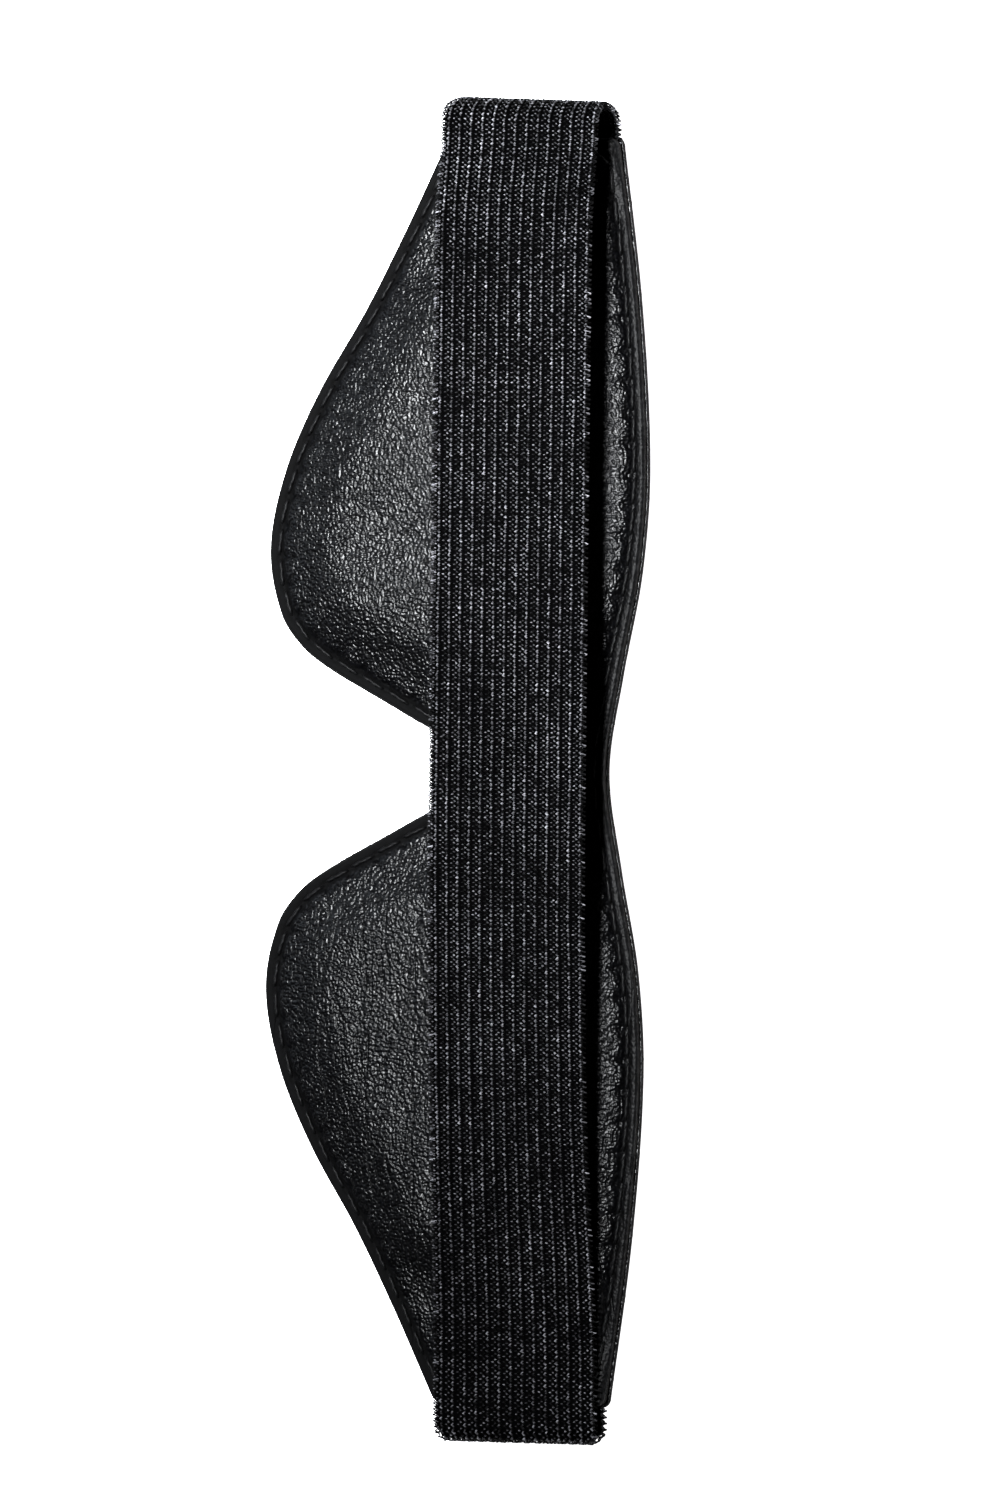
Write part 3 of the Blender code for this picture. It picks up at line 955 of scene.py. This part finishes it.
def front_leather():
    """The outer leather: a larger grain with more gloss."""
    made, tree, shader = new_material("front_leather_look")
    place = object_coordinates(tree)
    grain = pebble_height(tree, place, FRONT_GRAIN)
    patches = noise(tree, place, 40.0, 3.0)
    # Painted shade: part of the colour follows the grain's height, so the valleys between pebbles
    # are darker.
    tone_and_valley_shade = math_node(tree, "MULTIPLY_ADD", grain, 0.4, math_node(tree, "MULTIPLY", patches, 0.6))
    colour = colour_ramp(tree, tone_and_valley_shade, [(0.2, (0.003, 0.003, 0.0035)), (0.85, (0.012, 0.012, 0.014))])
    roughness = mapped(tree, patches, 0.3, 0.7, 0.36, 0.46)
    finish_with(tree, shader, colour, roughness, bump(tree, grain, GRAIN_HEIGHT, 1.0), 0.4)
    return made


def cut_edge():
    """The raw edge of dyed leather: brown-black, matt and fibrous, with its layers showing."""
    made, tree, shader = new_material("cut_edge_look")
    place = object_coordinates(tree)
    layered = {"Scale": (0.35, 0.35, 1.6)}
    stretched = add_node(tree, "ShaderNodeMapping", {"Vector": place}, layered)
    fibres = noise(tree, stretched.outputs["Vector"], 2600.0, 5.0, 0.7)
    colour = colour_ramp(tree, fibres, [
        (0.3, (0.0015, 0.001, 0.001)),
        (0.5, (0.006, 0.005, 0.0048)),
        (0.75, (0.03, 0.027, 0.026)),
    ])
    roughness = mapped(tree, fibres, 0.3, 0.7, 0.65, 0.9)
    finish_with(tree, shader, colour, roughness, bump(tree, fibres, 0.15 * MM, 1.0), 0.12)
    return made


def fibrous(name, scale, stops, matt, relief, strength, specular):
    """A surface of fine fibres. stops are their colours, and matt is their range of roughness."""
    made, tree, shader = new_material(name)
    fibres = noise(tree, object_coordinates(tree), scale, 3.0, 0.6)
    colour = colour_ramp(tree, fibres, stops)
    roughness = mapped(tree, fibres, 0.3, 0.7, *matt)
    finish_with(tree, shader, colour, roughness, bump(tree, fibres, relief, strength), specular)
    return made


def thread_material():
    """Black sewing thread."""
    stops = [(0.3, (0.002, 0.002, 0.002)), (0.75, (0.013, 0.013, 0.014))]
    return fibrous("thread_look", 2400.0, stops, (0.4, 0.6), 0.04 * MM, 0.6, 0.15)


def yarn_material():
    """Black textured yarn. Its colour carries painted highlights: the stitch legs that would glint
    are coloured bright, and the rest dark.
    """
    made, tree, shader = new_material("yarn_look")
    place = object_coordinates(tree)
    tone_and_painted_glint = attribute(tree, "tone_and_painted_glint")
    fibres = noise(tree, place, 3800.0, 2.0, 0.6)
    patches = noise(tree, place, 70.0, 3.0)
    uneven = math_node(tree, "MULTIPLY_ADD", fibres, 0.3, math_node(tree, "MULTIPLY", patches, 0.3))
    mix = math_node(tree, "ADD", math_node(tree, "SUBTRACT", tone_and_painted_glint, 0.3), uneven)
    # The bright stops of this ramp are painted highlights.
    colour = colour_ramp(tree, mix, [
        (0.3, (0.0005, 0.0005, 0.0005)),
        (0.5, (0.014, 0.014, 0.015)),
        (0.72, (0.11, 0.11, 0.118)),
        (1.0, (0.3, 0.3, 0.32)),
    ])
    roughness = mapped(tree, mix, 0.3, 0.9, 0.6, 0.35)
    finish_with(tree, shader, colour, roughness, bump(tree, fibres, 0.03 * MM, 0.6), 0.06)
    return made


def core_material():
    """The dense inside of the elastic, seen only between its stitches; its near-black colour is
    partly painted shade in the gaps between them.
    """
    stops = [(0.3, (0.0002, 0.0002, 0.0002)), (0.8, (0.0025, 0.0025, 0.003))]
    return fibrous("core_look", 1800.0, stops, (0.75, 0.95), 0.08 * MM, 0.8, 0.02)


def foam_material():
    """Grey open-celled foam."""
    made, tree, shader = new_material("foam_look")
    place = object_coordinates(tree)
    pores = cells(tree, place, 0.6 * MM)
    colour = colour_ramp(tree, pores, [(0.0, (0.16, 0.16, 0.17)), (0.7, (0.05, 0.05, 0.055))])
    tree.links.new(colour, shader.inputs["Base Color"])
    tree.links.new(mapped(tree, pores, 0.0, 0.7, 0.85, 1.0), shader.inputs["Roughness"])
    tree.links.new(bump(tree, pores, 0.2 * MM, 0.8), shader.inputs["Normal"])
    return made


# ---- foam

def foam_pad(name, side, finish):
    """One pad of foam: it fills the space between the panels over an eye, with soft edges."""
    columns, rows = 90, 60
    length, margin = 68 * MM, 7 * MM
    u = np.linspace(0, 1, columns)[:, None] * np.ones((1, rows))
    v = np.linspace(0, 1, rows)[None, :] * np.ones((columns, 1))
    x = side * (18 * MM + length * u)
    into_end = np.clip(np.abs(2 * u - 1) - 0.8, 0, 0.2)
    rounding = margin * (1 - np.sqrt(np.clip(1 - into_end ** 2 / 0.04, 0, 1)))
    low = cheek_y(x) + margin * lean(cheek_from_strap, x) + rounding
    high = brow_y(x) - margin * lean(brow_from_strap, x) - rounding
    y = low + (high - low) * v
    rim = np.minimum(np.minimum(u, 1 - u) * 68, np.minimum(v, 1 - v) * 45)
    pinch = 0.45 * np.exp(-rim / 1.1)
    bottom = front_top(x, y) + 0.15 * MM
    top = lining_bottom(x, y) - 0.15 * MM
    middle = (bottom + top) / 2
    half = (top - bottom) / 2 * (1 - pinch)
    top_faces, border = sheet_faces(columns, rows)
    bottom_faces = top_faces[:, ::-1] + columns * rows
    walls = wall_faces([border, border + columns * rows])
    faces = np.concatenate([top_faces, bottom_faces, walls])
    if side < 0:
        faces = faces[:, ::-1]
    sheets = [np.stack([x, y, z], axis=-1).reshape(-1, 3) for z in (middle + half, middle - half)]
    return mesh_object(name, np.concatenate(sheets), faces.tolist(), [finish])


# ---- the pieces

def dress_leather():
    """The lining and the front panel."""
    edge = cut_edge()
    lining = leather_panel("lining_leather", LINING_RECESS, lining_bottom, lining_top,
                           lining_leather(), edge, 11)
    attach(lining, "mask")
    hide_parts("lining_leather_panel")
    front = leather_panel("front_leather", 0.0, front_bottom, front_top, front_leather(), edge, 12)
    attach(front, "mask")
    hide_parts("front_leather_panel")


def dress_foam():
    """The pad over each eye."""
    finish = foam_material()
    for side, word in ((-1, "left"), (1, "right")):
        pad = foam_pad(f"foam_{word}", side, finish)
        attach(pad, "mask")
        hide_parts(f"foam_pad_{word}")


def dress_seams():
    """Each seam's thread on the lining and on the front."""
    finish = thread_material()
    faces = (("needle", lining_top, 1), ("bobbin", front_bottom, -1))
    for kind, surface, side in faces:
        edge = seam_stitches(f"edge_stitches_{kind}", surface, side, finish)
        pieces = [(edge, f"edge_seam_{kind}_thread")]
        for end, word in ((-1, "left"), (1, "right")):
            name = f"anchor_stitches_{word}_{kind}"
            row = anchor_stitches(name, end, surface, side, finish)
            pieces.append((row, f"anchor_seam_{word}_{kind}_thread"))
        for piece, cad_node in pieces:
            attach(piece, "mask")
            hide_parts(cad_node)


def dress_strap():
    """The strap's halves: each is a core, its knitted face, and its inner face with its edges."""
    knit = yarn_material()
    core = core_material()
    rows, middle = courses()
    outer, outer_painted_glint = outer_wales(rows)
    inner, inner_tone = inner_wales(rows)
    edges = [selvedge_loops(rows, edge, 50 + edge) for edge in (-1, 1)]
    halves = ((-1, "left", 0, middle), (1, "right", middle, len(rows) - 1))
    for side, word, first, last in halves:
        body = strap_core(f"strap_core_{word}", rows[first:last + 1], core)
        rings = slice(first * OUTER_STEPS, last * OUTER_STEPS + 1)
        face = knit_piece(f"strap_knit_{word}", [(outer[:, rings], outer_painted_glint[:, rings])], knit)
        rings = slice(first * INNER_STEPS, last * INNER_STEPS + 1)
        back_parts = [(inner[:, rings], inner_tone[:, rings])]
        back_parts += [(loops[first:last], tone_and_painted_glint[first:last]) for loops, tone_and_painted_glint in edges]
        back = knit_piece(f"strap_knit_{word}_inner", back_parts, knit)
        for piece in (body, face, back):
            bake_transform(piece)
        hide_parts(f"strap_end_{word}")
        if side < 0:
            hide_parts("elastic_strap")


# ---- the scene

def floor():
    """A white table that stays white where the lights don't reach."""
    bpy.ops.mesh.primitive_plane_add(size=6.0, location=(0.0, 0.0, -0.02 * MM))
    plane = bpy.context.object
    plane.name = "floor"
    made, tree, shader = new_material("floor_look")
    grain = noise(tree, object_coordinates(tree), 8.0)
    colour = colour_ramp(tree, grain, [(0.3, (0.90, 0.90, 0.90)), (0.7, (0.93, 0.93, 0.93))])
    tree.links.new(colour, shader.inputs["Base Color"])
    shader.inputs["Roughness"].default_value = 0.9
    shader.inputs["Emission Color"].default_value = (1.0, 1.0, 1.0, 1.0)
    shader.inputs["Emission Strength"].default_value = 1.2
    plane.data.materials.append(made)


def softbox(name, azimuth, elevation, distance, size, power, colour, spread=180.0, aim=0.0):
    """An area light. Azimuth 0 is on the +X side and 90 on the +Y side. It points at X = aim."""
    light = bpy.data.lights.new(name, "AREA")
    light.shape = "RECTANGLE"
    light.size, light.size_y = size
    light.energy = power
    light.color = colour
    light.spread = math.radians(spread)
    lamp = bpy.data.objects.new(name, light)
    a, e = math.radians(azimuth), math.radians(elevation)
    back = Vector((math.cos(a) * math.cos(e), math.sin(a) * math.cos(e), math.sin(e)))
    lamp.location = back * distance
    lamp.rotation_mode = "QUATERNION"
    lamp.rotation_quaternion = (lamp.location - Vector((aim, 0.0, 0.0))).to_track_quat("Z", "Y")
    bpy.context.scene.collection.objects.link(lamp)


def lighting():
    """A small key almost overhead, and a cooler fill from the cheek side."""
    softbox("key", azimuth=190, elevation=82, distance=1.0, size=(0.08, 0.08), power=1.7,
            colour=(0.97, 0.985, 1.0), spread=38.0, aim=-80 * MM)
    softbox("fill", azimuth=248, elevation=32, distance=0.7, size=(0.16, 0.12), power=1.4,
            colour=(0.84, 0.92, 1.0))
    world = bpy.data.worlds.new("studio")
    bpy.context.scene.world = world
    world.use_nodes = True
    background = world.node_tree.nodes["Background"]
    background.inputs["Color"].default_value = (1.0, 1.0, 1.0, 1.0)
    background.inputs["Strength"].default_value = 0.02
    view = bpy.context.scene.view_settings
    view.view_transform = "Standard"
    view.gamma = 0.75          # a contrasty print, like a catalogue picture


def camera():
    """Looks down on the lining from a little to the brow side, with the mask's length upright."""
    tilt, roll = math.radians(19.0), math.radians(0.64)
    distance, lens, film = 2.2625, 300.0, 36.0
    aim = Vector((-3.8 * MM, 7.2 * MM, 0.0))
    back = Vector((0.0, math.sin(tilt), math.cos(tilt)))
    right = Vector((0.0, math.cos(tilt), -math.sin(tilt)))
    up = Vector((-1.0, 0.0, 0.0))
    rolled_up = up * math.cos(roll) - right * math.sin(roll)
    rolled_right = right * math.cos(roll) + up * math.sin(roll)
    data = bpy.data.cameras.new("camera")
    data.lens = lens
    data.sensor_width = film
    lens_object = bpy.data.objects.new("camera", data)
    turn = Matrix((rolled_right, rolled_up, back)).transposed().to_4x4()
    lens_object.matrix_world = Matrix.Translation(aim + back * distance) @ turn
    bpy.context.scene.collection.objects.link(lens_object)
    bpy.context.scene.camera = lens_object


camera()
lighting()
floor()
dress_leather()
dress_foam()
dress_seams()
dress_strap()
